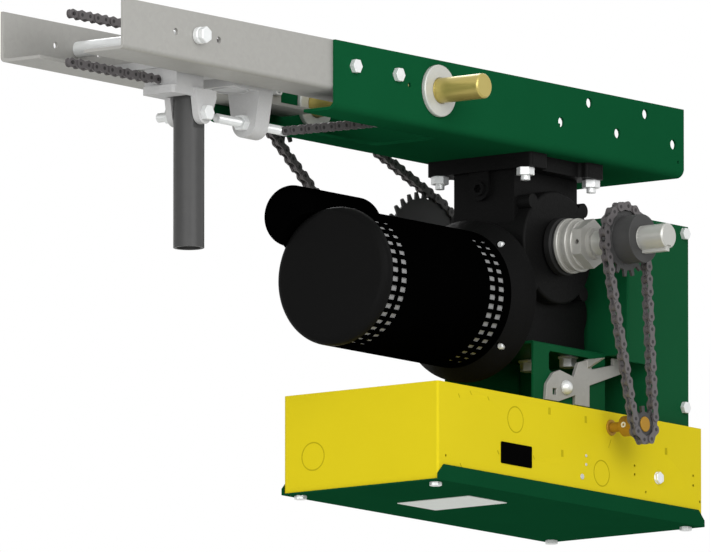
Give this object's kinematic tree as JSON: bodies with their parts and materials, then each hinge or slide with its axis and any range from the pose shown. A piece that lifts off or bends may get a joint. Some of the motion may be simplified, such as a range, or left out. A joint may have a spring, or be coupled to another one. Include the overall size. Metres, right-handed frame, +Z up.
{
  "type": "garage door opener",
  "caption": "Trolley door operator: channel and track rails with chain-drawn trolley and door arm, worm gear motor, chain drives and a control box slung underneath.",
  "frame": {"origin": "middle hole of the lower hanger line, on the outer face of the front channel flange", "axes": "+X along the track away from the door, +Y from the front flange to the rear one, +Z up"},
  "size_m": [0.9369, 0.3248, 0.4377],
  "materials": {
    "green_paint": "semi-gloss dark green paint on bent sheet",
    "yellow_paint": "semi-gloss yellow paint on bent sheet",
    "black_paint": "gloss black paint",
    "black_cast": "black painted sand casting",
    "galvanised": "bare galvanised steel",
    "zinc_steel": "bright zinc plate",
    "gold_zinc": "yellow chromate over zinc",
    "bright_steel": "turned bright steel",
    "chain_steel": "oiled dark steel",
    "sprocket_steel": "dark machined steel",
    "trolley_cast": "light grey casting",
    "arm_steel": "dark grey steel tube",
    "brass": "turned brass",
    "white_nylon": "natural nylon",
    "board_green": "laminate board",
    "black_plastic": "moulded black plastic",
    "transformer_steel": "varnished laminations"
  },
  "bodies": {
    "frame": {"frame_channel": "green_paint", "support_bracket": "green_paint", "saddle_bracket": "green_paint", "box_cover": "green_paint", "control_box": "yellow_paint", "motor_shell": "black_paint", "motor_end_cap": "black_paint", "motor_flange": "black_paint", "capacitor_cover": "black_paint", "gear_housing": "black_cast", "gear_cover": "black_cast", "worm_end_cap": "black_cast", "rail_front": "galvanised", "rail_rear": "galvanised", "limit_bracket": "galvanised", "rail_bolts": "zinc_steel", "gear_studs": "zinc_steel", "bracket_screws": "zinc_steel", "cover_screws": "zinc_steel", "lever_pivot": "zinc_steel", "bearing_front": "zinc_steel", "bearing_rear": "zinc_steel", "track_spacer": "zinc_steel", "motor_bearings": "bright_steel", "motor_stator": "bright_steel", "capacitor": "bright_steel", "drive_chain": "chain_steel", "limit_chain": "chain_steel", "trolley_chain_upper": "chain_steel", "limit_bush": "brass", "rear_bush": "brass", "control_board": "board_green", "contactor": "black_plastic", "terminal_strip": "black_plastic", "limit_switches": "black_plastic", "transformer": "transformer_steel"},
    "rotor": {"motor_rotor": "bright_steel", "worm_shaft": "bright_steel"},
    "output": {"output_shaft": "bright_steel", "worm_wheel": "brass", "clutch_discs": "zinc_steel", "clutch_nut": "zinc_steel", "limit_drive_sprocket": "sprocket_steel", "drive_sprocket": "sprocket_steel"},
    "drive": {"drive_shaft": "gold_zinc", "trolley_sprocket": "sprocket_steel", "driven_sprocket": "sprocket_steel"},
    "limit": {"limit_shaft": "bright_steel", "limit_sprocket": "sprocket_steel", "limit_hub": "brass"},
    "limit_travellers": {"limit_nuts": "white_nylon"},
    "trolley": {"trolley_body": "trolley_cast", "trolley_shoes": "white_nylon", "take_up_rod": "zinc_steel", "take_up_nuts": "zinc_steel", "pivot_bolt": "zinc_steel", "trolley_chain_front": "chain_steel", "trolley_chain_rear": "chain_steel"},
    "arm": {"door_arm": "arm_steel"},
    "lever": {"release_lever": "galvanised"}
  },
  "joints": [
    {"name": "motor_spin", "type": "hinge", "parent": "frame", "child": "rotor", "pos_m": [-0.25775, 0.07975, -0.1815], "axis": [1, 0, 0], "range_deg": [-2541.18, 5082.35]},
    {"name": "output_spin", "type": "hinge", "parent": "frame", "child": "output", "pos_m": [-0.0658, 0.07975, -0.122], "axis": [0, 1, 0], "range_deg": [-84.75, 169.5], "deforming": ["drive_chain", "limit_chain"]},
    {"name": "drive_spin", "type": "hinge", "parent": "frame", "child": "drive", "pos_m": [-0.30405, 0.07975, 0.0063], "axis": [0, 1, 0], "range_deg": [-180.09, 360.18], "deforming": ["trolley_chain_upper"]},
    {"name": "limit_spin", "type": "hinge", "parent": "frame", "child": "limit", "pos_m": [-0.03475, 0.01975, -0.30583], "axis": [0, 1, 0], "range_deg": [-180.09, 360.18]},
    {"name": "limit_nut_slide", "type": "slide", "parent": "frame", "child": "limit_travellers", "axis": [0, 1, 0], "range_m": [-0.0025, 0.0025]},
    {"name": "trolley_slide", "type": "slide", "parent": "frame", "child": "trolley", "axis": [1, 0, 0], "range_m": [-0.1525, 0.0763], "deforming": ["trolley_chain_rear"]},
    {"name": "door_arm_pivot", "type": "hinge", "parent": "trolley", "child": "arm", "pos_m": [-0.61375, 0.07575, -0.048], "axis": [0, 1, 0], "range_deg": [-55, 65]},
    {"name": "release_lever_pivot", "type": "hinge", "parent": "frame", "child": "lever", "pos_m": [-0.06275, 0.02145, -0.265], "axis": [0, 1, 0], "range_deg": [0, 12]}
  ],
  "couplings": [
    {"joint": "output_spin", "follows": "motor_spin", "ratio": 0.033333},
    {"joint": "drive_spin", "follows": "motor_spin", "ratio": 0.070833},
    {"joint": "limit_spin", "follows": "motor_spin", "ratio": 0.070833},
    {"joint": "trolley_slide", "follows": "motor_spin", "m_per_rad": -0.0017181},
    {"joint": "limit_nut_slide", "follows": "motor_spin", "m_per_rad": 0.000014317}
  ]
}
